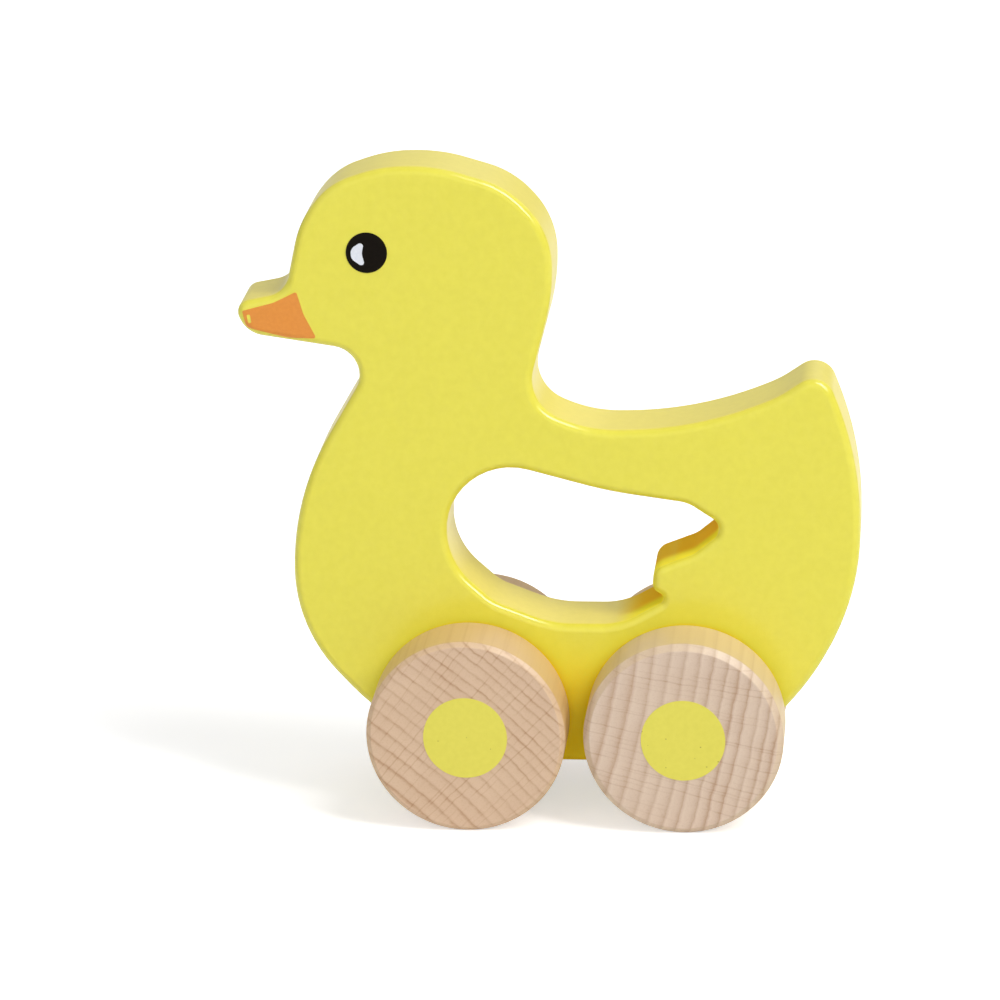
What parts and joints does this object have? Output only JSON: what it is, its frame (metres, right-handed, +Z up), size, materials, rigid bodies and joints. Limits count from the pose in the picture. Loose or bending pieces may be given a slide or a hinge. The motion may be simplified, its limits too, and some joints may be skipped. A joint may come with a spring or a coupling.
{
  "type": "wooden duck on wheels",
  "caption": "Push-along wooden toy: a flat lacquered duck with a wing-shaped grip hole, on beech wheels glued to dowel axles that turn in the board.",
  "frame": {"origin": "on the floor under the middle of the toy's bounding box", "axes": "+X the way the duck looks, +Y its left side, +Z up"},
  "size_m": [0.1174, 0.044, 0.1267],
  "materials": {
    "lacquer": "lemon-yellow satin lacquer",
    "beech": "bare sanded beech",
    "dowel": "bare sanded beech dowel",
    "dot_paint": "flat yellow paint",
    "eye_paint": "black print",
    "glint_paint": "white print",
    "beak_paint": "orange print"
  },
  "bodies": {
    "duck": {"body": "lacquer", "eye_left": "eye_paint", "eye_right": "eye_paint", "glint_left": "glint_paint", "glint_right": "glint_paint", "beak_left": "beak_paint", "beak_right": "beak_paint"},
    "front_wheels": {"axle_front": "dowel", "wheel_front_left": "beech", "wheel_front_right": "beech", "dot_front_left": "dot_paint", "dot_front_right": "dot_paint"},
    "rear_wheels": {"axle_rear": "dowel", "wheel_rear_left": "beech", "wheel_rear_right": "beech", "dot_rear_left": "dot_paint", "dot_rear_right": "dot_paint"}
  },
  "joints": [
    {"name": "front_axle_spin", "type": "hinge", "parent": "duck", "child": "front_wheels", "pos_m": [0.0158, 0, 0.019], "axis": [0, 1, 0], "continuous": true},
    {"name": "rear_axle_spin", "type": "hinge", "parent": "duck", "child": "rear_wheels", "pos_m": [-0.0256, 0, 0.019], "axis": [0, 1, 0], "continuous": true}
  ]
}
